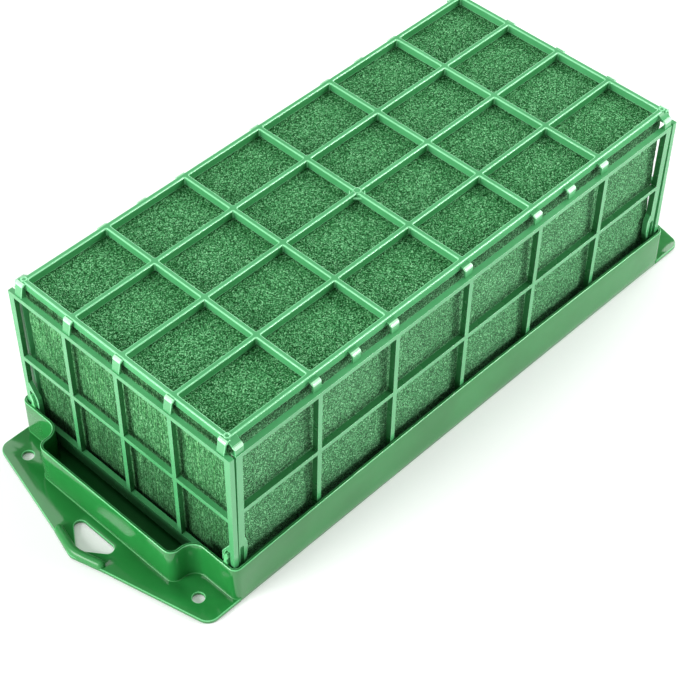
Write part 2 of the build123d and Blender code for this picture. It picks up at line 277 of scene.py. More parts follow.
def foam_material():
    """Open-celled floral foam: fine pores, pale crushed cells, vertical saw lines on the end faces."""
    mat, tree, shader = node_material("floral_foam_cells")
    coords = tree.nodes.new("ShaderNodeTexCoord").outputs["Object"]
    geometry = tree.nodes.new("ShaderNodeNewGeometry")
    split = tree.nodes.new("ShaderNodeSeparateXYZ")
    tree.links.new(geometry.outputs["True Normal"], split.inputs["Vector"])

    def size_of(output):
        node = tree.nodes.new("ShaderNodeMath")
        node.operation = "ABSOLUTE"
        tree.links.new(output, node.inputs[0])
        return node.outputs[0]

    on_end = remap(tree, size_of(split.outputs["X"]), 0.55, 0.85, 0, 1)
    on_side = remap(tree, size_of(split.outputs["Y"]), 0.55, 0.85, 0, 1)

    lines = noise_node(tree, 1100, 3, stretched(tree, coords, 0.06), 0.6)
    medium = noise_node(tree, 900, 2, coords, 0.6)
    broad = noise_node(tree, 45, 3, coords)
    grains, pits = cell_node(tree, 2900, coords)

    speckle = ramp(tree, grains, [(0.0, (0.001, 0.030, 0.004)), (0.34, (0.011, 0.118, 0.023)),
                                  (0.60, (0.048, 0.268, 0.080)), (0.84, (0.135, 0.480, 0.188)),
                                  (1.0, (0.350, 0.820, 0.415))])
    # the cells are torn into short upright streaks on the ends
    torn, _ = cell_node(tree, 2900, stretched(tree, coords, 0.26))
    streaky = ramp(tree, torn, [(0.0, (0.003, 0.045, 0.007)), (0.40, (0.026, 0.165, 0.044)),
                                (0.75, (0.090, 0.350, 0.125)), (1.0, (0.270, 0.640, 0.310))])
    speckle = mix_colour(tree, remap(tree, on_end, 0.0, 1.0, 0.0, 0.55), speckle, streaky)

    # broad clouds, small dents, and saw lines on the ends
    cloud = ramp(tree, broad, [(0.30, (0.86, 0.90, 0.88)), (0.70, (1.04, 1.0, 1.04))])
    colour = times(tree, speckle, cloud)
    dent = ramp(tree, medium, [(0.30, (0.80, 0.84, 0.80)), (0.52, (1.0, 1.0, 1.0)),
                               (0.74, (1.10, 1.08, 1.10))])
    colour = times(tree, colour, dent)
    saw = ramp(tree, lines, [(0.36, (0.62, 0.68, 0.60)), (0.52, (1.0, 1.0, 1.0)),
                             (0.70, (1.46, 1.36, 1.24))])
    colour = mix_colour(tree, on_end, colour, times(tree, colour, saw))

    # painted shade low on the ends and just under the top net; greyer and paler on the long sides
    height = tree.nodes.new("ShaderNodeSeparateXYZ")
    tree.links.new(coords, height.inputs["Vector"])
    # painted shade: the end faces darken towards the bottom, where the trough's wall keeps light off
    painted_low_shade = ramp(tree, remap(tree, height.outputs["Z"], 0.0, 0.081, 0.0, 1.0),
                [(0.15, (0.42, 0.50, 0.46)), (0.46, (0.58, 0.66, 0.62)), (0.85, (1.0, 1.0, 1.0))])
    colour = mix_colour(tree, on_end, colour, times(tree, colour, painted_low_shade))
    # the long sides are mixed a little towards a paler grey-green
    greyer_sides = mix_colour(tree, 0.10, colour, (0.280, 0.420, 0.330))
    colour = mix_colour(tree, on_side, colour, greyer_sides)
    # painted shade: upright faces darken in a band just under the top net
    painted_shade_under_top = ramp(tree, remap(tree, height.outputs["Z"], 0.074, 0.081, 0.0, 1.0),
                [(0.35, (1.0, 1.0, 1.0)), (0.75, (0.50, 0.56, 0.52))])
    upright = remap(tree, size_of(split.outputs["Z"]), 0.3, 0.8, 1.0, 0.0)
    colour = mix_colour(tree, upright, colour, times(tree, colour, painted_shade_under_top))

    tree.links.new(colour, shader.inputs["Base Color"])
    shader.inputs["Roughness"].default_value = 0.95
    shader.inputs["Specular IOR Level"].default_value = 0.15
    shader.inputs["Sheen Weight"].default_value = 0.04
    shader.inputs["Sheen Roughness"].default_value = 0.6
    shader.inputs["Sheen Tint"].default_value = (0.6, 1.0, 0.65, 1)
    cells = bump(tree, medium, 0.7, 0.0006)
    pores = bump(tree, pits, 0.6, 0.0003, cells)
    tree.links.new(pores, shader.inputs["Normal"])
    return mat


def floor_material():
    """A plain pale ground with the faintest mottling."""
    mat, tree, shader = node_material("pale_ground")
    place = tree.nodes.new("ShaderNodeTexCoord").outputs["Object"]
    mottle = ramp(tree, noise_node(tree, 3, 3, place),
                  [(0.3, (0.90, 0.90, 0.90)), (0.7, (0.93, 0.93, 0.93))])
    tree.links.new(mottle, shader.inputs["Base Color"])
    shader.inputs["Roughness"].default_value = 0.6
    shader.inputs["Specular IOR Level"].default_value = 0.2
    shader.inputs["Emission Color"].default_value = (1.0, 1.0, 1.0, 1)
    shader.inputs["Emission Strength"].default_value = 0.14
    return mat


# each: name, dark, middle and light colour, roughness from and to, specular level
TRAY_MAT = plastic("tray_green_polypropylene", (0.014, 0.180, 0.032), (0.018, 0.215, 0.042),
                   (0.026, 0.250, 0.056), 0.10, 0.16, 0.8)
# painted shade: a darker, duller copy of the tray plastic for the trough's inside and the rim's top
TRAY_PAINTED_SHADE = plastic("tray_painted_shade", (0.009, 0.120, 0.022), (0.011, 0.140, 0.026),
                      (0.014, 0.160, 0.032), 0.34, 0.46, 0.4)
# a rougher, satin copy of the tray plastic, its green lightened as a painted highlight, for the tab's
# fillet and the grips
TRAY_SATIN_PAINTED_HIGHLIGHT = plastic("tray_satin_with_painted_highlight", (0.024, 0.225, 0.048), (0.030, 0.260, 0.060),
                     (0.040, 0.300, 0.076), 0.30, 0.40, 0.5)
# painted highlight: a pale copy of the tray plastic for its rounded edges and the snap hooks
TRAY_PAINTED_HIGHLIGHT = plastic("tray_painted_edge_highlights", (0.130, 0.540, 0.210), (0.150, 0.590, 0.235),
                    (0.175, 0.640, 0.260), 0.10, 0.16, 0.5)
CAGE_MAT = plastic("cage_mint_polypropylene", (0.070, 0.345, 0.125), (0.085, 0.395, 0.150),
                   (0.110, 0.445, 0.180), 0.17, 0.26, 0.8)
# painted highlight: a pale copy of the cage plastic for rounded edges, disc lips and strap edges
CAGE_PAINTED_HIGHLIGHT = plastic("cage_painted_edge_highlights", (0.240, 0.720, 0.350), (0.270, 0.770, 0.390),
                    (0.300, 0.820, 0.430), 0.14, 0.22, 0.9)
# painted shade: a deep green for the walls inside the nets' openings
CAGE_PAINTED_RECESS_SHADE = plastic("cage_painted_recess_shade", (0.022, 0.150, 0.042), (0.028, 0.178, 0.052),
                      (0.036, 0.205, 0.064), 0.22, 0.32, 0.6)
CAGE_SHADE = plastic("cage_shaded_walls", (0.040, 0.240, 0.075), (0.050, 0.275, 0.090),
                     (0.062, 0.310, 0.108), 0.20, 0.30, 0.6)
# painted highlight: a near-white mint for the straps' bends
CAGE_PAINTED_FOLD_HIGHLIGHT = plastic("cage_painted_fold_highlights", (0.420, 0.840, 0.510), (0.480, 0.880, 0.560),
                    (0.540, 0.920, 0.620), 0.14, 0.22, 0.9)
FOAM_MAT = foam_material()
SLOT_MAT = {"tray_plastic": TRAY_MAT, "cage_plastic": CAGE_MAT, "floral_foam": FOAM_MAT}
# the pale copies that rounded edges get as painted highlights
EDGE_HIGHLIGHT_MAT = {"tray_plastic": TRAY_PAINTED_HIGHLIGHT, "cage_plastic": CAGE_PAINTED_HIGHLIGHT}


# ------------------------------------------------------------------ mesh helpers (all in millimetres)
class Shape:
    """Vertices and faces that grow piece by piece."""

    def __init__(self):
        self.verts = []
        self.faces = []

    def add(self, verts, faces):
        start = len(self.verts)
        self.verts += [tuple(float(c) for c in v) for v in verts]
        self.faces += [tuple(start + i for i in f) for f in faces]
        return self

    def moved(self, change):
        """The same shape with every vertex passed through change."""
        other = Shape()
        other.verts = [tuple(change(np.array(v, float))) for v in self.verts]
        other.faces = list(self.faces)
        return other


def build(name, shape, slot, bevel=0.0, segments=2, smooth_angle=40):
    """A mesh object of a shape, with clean outward normals, rounded edges and its slot's material."""
    mesh = bpy.data.meshes.new(name)
    mesh.from_pydata([[c * MM for c in v] for v in shape.verts], [], shape.faces)
    bm = bmesh.new()
    bm.from_mesh(mesh)
    bmesh.ops.remove_doubles(bm, verts=bm.verts, dist=1e-6)
    bmesh.ops.recalc_face_normals(bm, faces=bm.faces)
    bm.to_mesh(mesh)
    bm.free()
    mesh.update()
    obj = bpy.data.objects.new(name, mesh)
    bpy.context.scene.collection.objects.link(obj)
    mesh.materials.append(SLOT_MAT[slot])
    mesh.shade_smooth()
    if bevel:
        # painted highlight: the bevel's new faces take the slot's pale edge material
        mesh.materials.append(EDGE_HIGHLIGHT_MAT[slot])
        mod = obj.modifiers.new("rounded_edges", "BEVEL")
        mod.width = bevel * MM
        mod.segments = segments
        mod.limit_method = "ANGLE"
        mod.angle_limit = math.radians(smooth_angle)
        mod.use_clamp_overlap = True
        mod.harden_normals = True
        mod.material = 1
        mod.miter_outer = "MITER_ARC"
    else:
        mesh.set_sharp_from_angle(angle=math.radians(smooth_angle))
    return obj


def paint(piece, material, chosen):
    """Gives a piece one more material, on the faces whose centre (mm) and normal are chosen."""
    piece.data.materials.append(material)
    index = len(piece.data.materials) - 1
    for face in piece.data.polygons:
        if chosen([c / MM for c in face.center], face.normal):
            face.material_index = index


def prism(outline, low, high):
    """A plate of a closed (u, v) outline between two depths."""
    n = len(outline)
    verts = [(u, v, low) for u, v in outline] + [(u, v, high) for u, v in outline]
    faces = [tuple(range(n - 1, -1, -1)), tuple(range(n, 2 * n))]
    faces += [(i, (i + 1) % n, n + (i + 1) % n, n + i) for i in range(n)]
    return Shape().add(verts, faces)


def arc(centre, radius, start, sweep, steps):
    """Points along an arc, from a start angle through a sweep, both in degrees."""
    angles = [math.radians(start + sweep * k / steps) for k in range(steps + 1)]
    return [(centre[0] + radius * math.cos(a), centre[1] + radius * math.sin(a)) for a in angles]


def rounded(points, radii, steps=6):
    """A closed outline with each corner rounded to its radius."""
    result = []
    count = len(points)
    for i, (point, radius) in enumerate(zip(points, radii)):
        here = np.array(point, float)
        if radius <= 0:
            result.append(tuple(here))
            continue
        before = np.array(points[i - 1], float) - here
        after = np.array(points[(i + 1) % count], float) - here
        before /= np.linalg.norm(before)
        after /= np.linalg.norm(after)
        half = math.acos(max(-1, min(1, float(before @ after)))) / 2
        middle = (before + after) / np.linalg.norm(before + after)
        centre = here + middle * radius / math.sin(half)
        reach = radius / math.tan(half)
        start = here + before * reach - centre
        end = here + after * reach - centre
        a = math.atan2(start[1], start[0])
        sweep = (math.atan2(end[1], end[0]) - a + math.pi) % (2 * math.pi) - math.pi
        for k in range(steps + 1):
            angle = a + sweep * k / steps
            result.append((centre[0] + radius * math.cos(angle), centre[1] + radius * math.sin(angle)))
    return result


def lattice(columns, rows, depth, skip=None):
    """A flat grid of crowned bars in (u, v, out): (low, high) pairs, with out = 0 at the front edges."""
    longest = 10

    def lines(pairs):
        """The bars' edges and middles, with the long gaps between them split up."""
        values = set()
        for low, high in pairs:
            values.update((low, (low + high) / 2, high))
        ordered = sorted(values)
        full = []
        for a, b in zip(ordered, ordered[1:]):
            steps = max(1, int((b - a) / longest))
            full += [a + (b - a) * k / steps for k in range(steps)]
        return np.array(full + [ordered[-1]])

    us, vs = lines(columns), lines(rows)

    def held(value, pairs):
        return any(low - 1e-9 <= value <= high + 1e-9 for low, high in pairs)

    def central(value, pairs):
        return any(abs(value - (low + high) / 2) < 1e-6 for low, high in pairs)

    filled = {}
    for i in range(len(us) - 1):
        for j in range(len(vs) - 1):
            u, v = (us[i] + us[i + 1]) / 2, (vs[j] + vs[j + 1]) / 2
            solid = held(u, columns) or held(v, rows)
            filled[i, j] = solid and not (skip and skip(u, v))
    shape = Shape()
    index = {}

    def vertex(i, j, front):
        key = (i, j, front)
        if key not in index:
            u, v = us[i], vs[j]
            top = BAR_CROWN if (central(u, columns) or central(v, rows)) else 0.0
            index[key] = len(shape.verts)
            shape.verts.append((float(u), float(v), float(top if front else -depth)))
        return index[key]

    for (i, j), solid in filled.items():
        if not solid:
            continue
        for front in (True, False):
            loop = [vertex(a, b, front) for a, b in ((i, j), (i + 1, j), (i + 1, j + 1), (i, j + 1))]
            shape.faces.append(tuple(loop if front else reversed(loop)))
        for (ni, nj), (a, b) in {
            (i - 1, j): ((i, j + 1), (i, j)), (i + 1, j): ((i + 1, j), (i + 1, j + 1)),
            (i, j - 1): ((i, j), (i + 1, j)), (i, j + 1): ((i + 1, j + 1), (i, j + 1)),
        }.items():
            if not filled.get((ni, nj), False):
                shape.faces.append((vertex(*b, True), vertex(*a, True),
                                    vertex(*a, False), vertex(*b, False)))
    return shape


def mirrored(shape, axis):
    """The shape's mirror image across the plane through the origin that is square to an axis."""
    other = Shape()
    for v in shape.verts:
        v = list(v)
        v[axis] = -v[axis]
        other.verts.append(tuple(v))
    other.faces = [tuple(reversed(f)) for f in shape.faces]
    return other


def turned(shape):
    """The shape turned half a turn about Z."""
    return shape.moved(lambda v: np.array((-v[0], -v[1], v[2])))


def facing(end, shape):
    """A front end's shape as it is, or turned round to the rear end."""
    return shape if end < 0 else turned(shape)


# ------------------------------------------------------------------ net cage
def bars(centres, width=BAR):
    """(low, high) pairs of bars round their centre lines."""
    return [(c - width / 2, c + width / 2) for c in centres]


def dished_disc(x, y, top, radius, rise, depth, sides=24):
    """A round moulding mark with a raised lip and a dished middle."""
    profile = [(radius, -depth), (radius, rise - 0.12), (radius - 0.12, rise), (radius - 0.42, rise),
               (radius - 0.62, rise - 0.26), (0.0, rise - 0.32)]
    shape = Shape()
    for r, z in profile[:-1]:
        for k in range(sides):
            a = 2 * math.pi * k / sides
            shape.verts.append((x + r * math.cos(a), y + r * math.sin(a), top + z))
    centre = len(shape.verts)
    shape.verts.append((x, y, top + profile[-1][1]))
    for s in range(len(profile) - 2):
        for k in range(sides):
            n = (k + 1) % sides
            shape.faces.append((s * sides + k, s * sides + n, (s + 1) * sides + n, (s + 1) * sides + k))
    last = (len(profile) - 2) * sides
    for k in range(sides):
        shape.faces.append((last + k, last + (k + 1) % sides, centre))
    shape.faces.append(tuple(range(sides - 1, -1, -1)))
    return shape


def top_net():
    """The flat net over the foam, the small web at its middle crossing and its moulding marks."""
    grid = lattice(bars(X_LINES), bars(Y_LINES), TOP_DEPTH)
    shape = grid.moved(lambda v: np.array((v[0], v[1], v[2] + CAGE_TOP)))
    diamond = [(WEB_REACH, 0), (0, WEB_REACH), (-WEB_REACH, 0), (0, -WEB_REACH)]
    web = prism(diamond, CAGE_TOP - WEB_SINK - WEB_T, CAGE_TOP - WEB_SINK)
    shape.add(web.verts, web.faces)
    piece = build("top_grid_net", shape, "cage_plastic", bevel=BAR_EDGE, segments=3)

    def shaded(centre, normal):
        x, y = abs(centre[0]), abs(centre[1])
        return x < EDGE_X - 0.5 and y < EDGE_Y - 0.5 and abs(normal[1]) > 0.8

    paint(piece, CAGE_SHADE, shaded)
    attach(piece, "cage_top")
    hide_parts("top_grid")
    marks = Shape()
    for x in (X_LINES[0], X_LINES[-1]):
        for y in (Y_LINES[0], Y_LINES[-1]):
            disc = dished_disc(x, y, CAGE_TOP, DISC_R, DISC_RISE, 3.0)
            marks.add(disc.verts, disc.faces)
    gate = dished_disc(0, 0, CAGE_TOP, GATE_R, GATE_RISE, 2.0)
    marks.add(gate.verts, gate.faces)
    discs = build("top_grid_moulding_marks", marks, "cage_plastic", smooth_angle=50)
    # painted highlight on the discs' raised lips
    paint(discs, CAGE_PAINTED_HIGHLIGHT, lambda centre, normal: centre[2] > CAGE_TOP + 0.1)
    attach(discs, "cage_top")


def strap_path(edge, top, face, foot, droop=0.0):
    """(outward, height) points along a strap's middle, from the top net round to the side net."""
    middle = top - STRAP_T / 2
    r = STRAP_BEND - STRAP_T / 2
    centre = (face - STRAP_BEND, top - STRAP_BEND)
    points = [(edge - 0.8, middle + droop * 1.25), (edge + 0.1, middle + droop),
              (centre[0] - 0.2, middle + 0.1 * droop)]
    for k in range(9):
        a = math.pi / 2 * (1 - k / 8)
        points.append((centre[0] + r * math.cos(a), centre[1] + r * math.sin(a)))
    drop = centre[1] - GRID_TOP
    for z in (GRID_TOP + 1.6, GRID_TOP + 0.25, GRID_TOP - 0.8):
        share = (centre[1] - z) / drop
        points.append((face - STRAP_T / 2 + (foot - face) * share, z))
    return points


def strap_shape(along, path):
    """One strap in (along, outward, z): a band that narrows a little where it lands on the side net."""
    shape = Shape()
    total = len(path) - 1
    for k, (out, z) in enumerate(path):
        before, after = path[max(k - 1, 0)], path[min(k + 1, total)]
        tangent = np.array((after[0] - before[0], after[1] - before[1]))
        tangent /= np.linalg.norm(tangent)
        normal = np.array((-tangent[1], tangent[0])) * STRAP_T / 2
        share = k / total
        width = STRAP_WIDE - (STRAP_WIDE - STRAP_LAND) * max(0.0, share - 0.55) / 0.45
        for a in (along - width / 2, along + width / 2):
            shape.verts.append((a, out + normal[0], z + normal[1]))
            shape.verts.append((a, out - normal[0], z - normal[1]))
    for k in range(total):
        o, n = 4 * k, 4 * k + 4
        shape.faces += [(o, n, n + 2, o + 2), (o + 1, o + 3, n + 3, n + 1),
                        (o, o + 1, n + 1, n), (o + 2, n + 2, n + 3, o + 3)]
    shape.faces += [(0, 2, 3, 1), (4 * total, 4 * total + 1, 4 * total + 3, 4 * total + 2)]
    return shape


def on_fold(centre, dx, dy):
    """Whether a place on a strap is on its bend, which gets a painted highlight."""
    x, y, z = centre
    if dx:
        face_out, top = END_STRAP_FACE, END_STRAPS_HIGH[2]
    elif abs(x) > CORNER_STRAP_FROM:
        face_out, top = -STRAPS_LOW[1], CORNER_STRAP_TOP
    else:
        face_out, top = LONG_STRAP_FACE, STRAPS_HIGH[2]
    return x * dx + y * dy > face_out - STRAP_BEND and z > top - STRAP_BEND - 0.1


def straps():
    """The living-hinge straps between the top net and each standing net, one piece to a side."""
    right = Shape()
    plain = strap_path(EDGE_Y, STRAPS_HIGH[2], LONG_STRAP_FACE, LONG_STRAP_FACE)
    corner = strap_path(EDGE_Y, CORNER_STRAP_TOP, -STRAPS_LOW[1], -STRAPS_LOW[1], CORNER_STRAP_DROOP)
    for x, path in [(x, plain) for x in LONG_STRAP_X] + [(x, corner) for x in CORNER_STRAP_X]:
        one = strap_shape(x, path)
        right.add(one.moved(lambda v: np.array((v[0], -v[1], v[2]))).verts, one.faces)
    front = Shape()
    end_path = strap_path(EDGE_X, END_STRAPS_HIGH[2], END_STRAP_FACE, -END_STRAPS_LOW[0])
    for y in END_STRAP_Y:
        one = strap_shape(y, end_path)
        front.add(one.moved(lambda v: np.array((-v[1], v[0], v[2]))).verts, one.faces)
    made = [("right", right, 0, -1), ("left", turned(right), 0, 1),
            ("front", front, -1, 0), ("rear", turned(front), 1, 0)]
    for side, shape, dx, dy in made:
        piece = build(f"{side}_living_hinge_straps", shape, "cage_plastic",
                      bevel=STRAP_EDGE, smooth_angle=50)
        # painted highlight on each strap's bend
        paint(piece, CAGE_PAINTED_FOLD_HIGHLIGHT, lambda centre, normal: on_fold(centre, dx, dy))
        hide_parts(f"{side}_hinge_straps")
        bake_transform(piece)


def leaning(shape, side):
    """A shape in a side net's own (x, z, outward), put in its leaning place on the right or left side."""
    def place(v):
        x, z, out = v
        dz = z - GRID_TOP
        y = out + BAR_DEPTH
        return np.array((x, -SIDE_FACE + BAR_DEPTH - (y * math.cos(LEAN) + dz * math.sin(LEAN)),
                         GRID_TOP + dz * math.cos(LEAN) - y * math.sin(LEAN)))

    placed = shape.moved(place)
    return mirrored(placed, 1) if side > 0 else placed


def net_rows(middle):
    """The bottom rail, middle bar and top bar of a standing net, as (low, high) pairs."""
    return [(GRID_BOTTOM, GRID_BOTTOM + RAIL), *bars([middle]), (GRID_TOP - BAR, GRID_TOP)]


def shade_recesses(piece, out_axis, half, flattest):
    """Paints shade on the walls inside a net's openings: a deeper green than its front.

    flattest leaves out the walls that face up or down more than it says; above 1 it leaves out none.
    """
    def recessed(centre, normal):
        inside = centre[2] < GRID_TOP - 1.0 and abs(centre[1 - out_axis]) < half - 1.0
        return inside and abs(normal[out_axis]) < 0.5 and abs(normal[2]) < flattest

    paint(piece, CAGE_PAINTED_RECESS_SHADE, recessed)


def side_net(side, name):
    """A long side's net, with its posts, before the arched recesses are cut."""
    posts = [(-SIDE_HALF, -SIDE_HALF + POST), (SIDE_HALF - POST, SIDE_HALF)]
    grid = lattice(posts + bars(X_LINES[1:-1]), net_rows(SIDE_MIDDLE_Z), BAR_DEPTH)
    piece = build(name, leaning(grid, side), "cage_plastic", bevel=BAR_EDGE, segments=3)
    shade_recesses(piece, 1, SIDE_HALF, flattest=1.1)
    return piece


def arch_cutter(side, end):
    """The arched recess on one post's outer face, as a closed shape to cut away."""
    middle = end * (SIDE_HALF - POST / 2 + 0.1)
    low = GRID_BOTTOM + RAIL
    outline = [(middle - ARCH_R, low), (middle + ARCH_R, low)]
    outline += arc((middle, ARCH_SPRING), ARCH_R, 0, 180, 12)
    return leaning(prism(outline, -1.0, 2.0), side)


def cut(piece, cutter_shape):
    """Cuts a shape out of a piece, ahead of the modifier that rounds its edges."""
    tool = build("cutter", cutter_shape, "cage_plastic")
    mod = piece.modifiers.new("cut", "BOOLEAN")
    mod.operation = "DIFFERENCE"
    mod.solver = "EXACT"
    mod.object = tool
    with bpy.context.temp_override(object=piece, active_object=piece):
        bpy.ops.object.modifier_move_to_index(modifier="cut", index=0)
        bpy.ops.object.modifier_apply(modifier="cut")
    bpy.data.objects.remove(tool)


def lug_shape(side, end):
    """The rounded bulge on the inner side of one of a side net's posts."""
    inner = SIDE_HALF - POST + 0.5
    outline = [(inner, 31.6), (inner - 0.6, 30.6), (inner - 1.75, 27.6),
               (inner - 1.8, 24.0), (inner - 1.5, 20.0), (inner, 14.6)]
    outline = rounded([(end * x, z) for x, z in outline], [0, 1.2, 1.0, 3.0, 2.0, 0])
    return leaning(prism(outline, -BAR_DEPTH, 0.0), side)


def side_panels():
    """Both long sides' nets, with an arched recess and a latch bulge at each post."""
    for side, word in ((-1, "right"), (1, "left")):
        piece = side_net(side, f"{word}_side_net")
        for end in (-1, 1):
            cut(piece, arch_cutter(side, end))
        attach(piece, f"{word}_panel")
        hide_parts(f"{word}_side_grid")
        for end, where in ((-1, "front"), (1, "rear")):
            lug = lug_shape(side, end)
            bulge = build(f"{where}_{word}_latch_bulge", lug, "cage_plastic", bevel=LUG_EDGE)
            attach(bulge, f"{word}_panel")
            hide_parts(f"{where}_{word}_latch_lug")


def end_net_shape():
    """The front end's net: its posts taper, and its bottom rail stops at the latch eyes' bands."""
    posts = [(-END_POST_Y, -END_POST_Y + POST), (END_POST_Y - POST, END_POST_Y)]
    rows = net_rows(END_MIDDLE_Z)
    columns = posts + bars([-END_CELL, 0.0, END_CELL]) + bars([-EYE_INNER, EYE_INNER], 0.02)

    def skip(y, z):
        low = z < GRID_BOTTOM + RAIL
        between = EYE_INNER < abs(y) < END_POST_Y - POST
        stub = abs(abs(y) - EYE_INNER) < 0.02 and not low
        stub = stub and not any(a <= z <= b for a, b in rows)
        return (low and between) or stub

    def place(v):
        y, z, out = v
        if abs(y) > END_POST_Y - 0.05:
            y = math.copysign(END_POST_Y - END_POST_TAPER * (GRID_TOP - z) / (GRID_TOP - GRID_BOTTOM), y)
        return np.array((-END_FACE - out, y, z))

    return lattice(columns, rows, END_DEPTH, skip).moved(place)


def eye_outline(side):
    """A latch eye's band as (y, z): up from the bottom rail, then out to the end post in an arch."""
    post = END_POST_Y - POST + 0.6
    band = EYE_INNER + 1.15
    points = [(post, 31.4), (52.0, 23.4), (EYE_INNER, 21.0), (EYE_INNER, GRID_BOTTOM),
              (band, GRID_BOTTOM), (band, 21.8), (54.2, 25.2), (post, 25.9)]
    radii = [0, 2.0, 2.0, 0.3, 0.3, 1.5, 0.9, 0]
    return rounded([(side * y, z) for y, z in points], radii)


def on_end_rail(centre, normal):
    """Whether a face is on the front or back of an end net's bottom rail, in the trough's shade."""
    return centre[2] < GRID_BOTTOM + RAIL and abs(centre[1]) < EYE_INNER and abs(normal[0]) > 0.9


def end_panels():
    """Both ends' nets, with a latch eye beside each post."""
    for end, word in ((-1, "front"), (1, "rear")):
        net = facing(end, end_net_shape())
        piece = build(f"{word}_end_net", net, "cage_plastic", bevel=BAR_EDGE, segments=3)
        shade_recesses(piece, 0, END_POST_Y, flattest=0.5)
        paint(piece, CAGE_SHADE, on_end_rail)
        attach(piece, f"{word}_panel")
        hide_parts(f"{word}_end_grid")
        for side, hand in ((-1, "right"), (1, "left")):
            local = side if end < 0 else -side
            eye = prism(eye_outline(local), 0.0, END_DEPTH)
            eye = facing(end, eye.moved(lambda v: np.array((-END_FACE + v[2], v[0], v[1]))))
            loop = build(f"{word}_{hand}_latch_arch", eye, "cage_plastic", bevel=EYE_EDGE)
            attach(loop, f"{word}_panel")
            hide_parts(f"{word}_{hand}_latch_eye")


# ------------------------------------------------------------------ tray
def tray_loop(inset, bow):
    """The tray's outline as points: a trough at each end, long sides bowed in by bow at the middle."""
    end_x, trough_x = HALF_L - inset, TROUGH_X - inset
    trough_y, side_y = TROUGH_HALF_W - inset, HALF_W - inset
    corner, mouth, deep = CORNER_R - inset, TROUGH_MOUTH_R + inset, TROUGH_CORNER_R - inset
    half = []
    for k in range(LONG_SIDE_STEPS + 1):
        x = (end_x - corner) * (1 - 2 * k / LONG_SIDE_STEPS)
        half.append((x, -side_y + bow * (1 - (x / (end_x - corner)) ** 2)))
    half += arc((corner - end_x, corner - side_y), corner, 270, -90, 6)[1:]
    half += arc((-end_x - mouth, -trough_y - mouth), mouth, 0, 90, 8)
    half += arc((deep - trough_x, deep - trough_y), deep, 270, -90, 8)
    for k in range(1, 12):
        half.append((-trough_x, (deep - trough_y) * (1 - 2 * k / 12)))
    half += arc((deep - trough_x, trough_y - deep), deep, 180, -90, 8)
    half += arc((-end_x - mouth, trough_y + mouth), mouth, 270, 90, 8)
    half += arc((corner - end_x, side_y - corner), corner, 180, -90, 6)[:-1]
    return half + [(-x, -y) for x, y in half]


def bow_at(z):
    """How far the long walls bow in at their middle, at a height."""
    return BOW_AT_FOOT + BOW_GROWTH * z / RIM


def paint_edge_highlight(piece, low, high):
    """Paints a highlight, a paler green, on a piece's rounded edges between two heights."""
    paint(piece, TRAY_PAINTED_HIGHLIGHT, lambda centre, normal: low < centre[2] < high and abs(normal[2]) < 0.97)


def tray():
    """The tray's shell: loops at (inset, height) up the outside, over the rim and down the inside."""
    outside = [(0.55, 0.0), (0.18, 0.12), (0.0, 0.5), (0.0, 4.0), (0.0, 9.0), (0.0, 14.0),
               (0.0, RIM - 0.36), (0.08, RIM - 0.1)]
    rim_top = [(0.28, RIM), (0.55, RIM + 0.01), (0.78, RIM)]
    inner_edge = [(WALL - 0.13, RIM - 0.12)]
    inside = [(WALL, RIM - 0.44), (WALL, 14.0), (WALL, 9.0), (WALL, 4.0), (WALL, FLOOR + 0.9),
              (WALL + 0.25, FLOOR + 0.25), (WALL + 0.9, FLOOR)]
    stations = outside + rim_top + inner_edge + inside
    shape = Shape()
    for inset, z in stations:
        shape.verts += [(x, y, z) for x, y in tray_loop(inset, bow_at(z))]
    n = len(shape.verts) // len(stations)
    for s in range(len(stations) - 1):
        for k in range(n):
            m = (k + 1) % n
            shape.faces.append((s * n + k, s * n + m, (s + 1) * n + m, (s + 1) * n + k))
    last = (len(stations) - 1) * n
    shape.faces.append(tuple(range(last, last + n)))
    shape.faces.append(tuple(range(n - 1, -1, -1)))
    piece = build("tray_moulded_shell", shape, "tray_plastic", smooth_angle=55)
    # painted highlights on the rim's rounded edges
    paint_edge_highlight(piece, RIM - 0.35, RIM - 0.02)
    # painted shade on the rim's top and on the trough's inner walls and floor
    piece.data.materials.append(TRAY_PAINTED_SHADE)
    shaded = len(piece.data.materials) - 1
    faces = list(piece.data.polygons)
    rim_start = len(outside) * n
    rim_end = rim_start + (len(rim_top) - 1) * n
    inside_start = (len(stations) - len(inside)) * n
    for face in faces[rim_start:rim_end] + faces[inside_start:-1]:
        face.material_index = shaded
    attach(piece, "tray")
    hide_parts("tray_shell")


def inset_loop(points, distance):
    """A closed loop moved towards its left-hand side by a small distance."""
    ring = np.array(points, float)
    ahead = np.roll(ring, -1, axis=0) - ring
    ahead /= np.linalg.norm(ahead, axis=1, keepdims=True)
    left = np.stack((-ahead[:, 1], ahead[:, 0]), axis=1)
    both = left + np.roll(left, 1, axis=0)
    both /= np.maximum((both ** 2).sum(axis=1, keepdims=True), 0.8) / 2
    return ring + both * distance


def area_of(points):
    """A closed loop's signed area, positive when it runs anticlockwise."""
    ring = np.array(points, float)
    after = np.roll(ring, -1, axis=0)
    return float((ring[:, 0] * after[:, 1] - ring[:, 1] * after[:, 0]).sum()) / 2


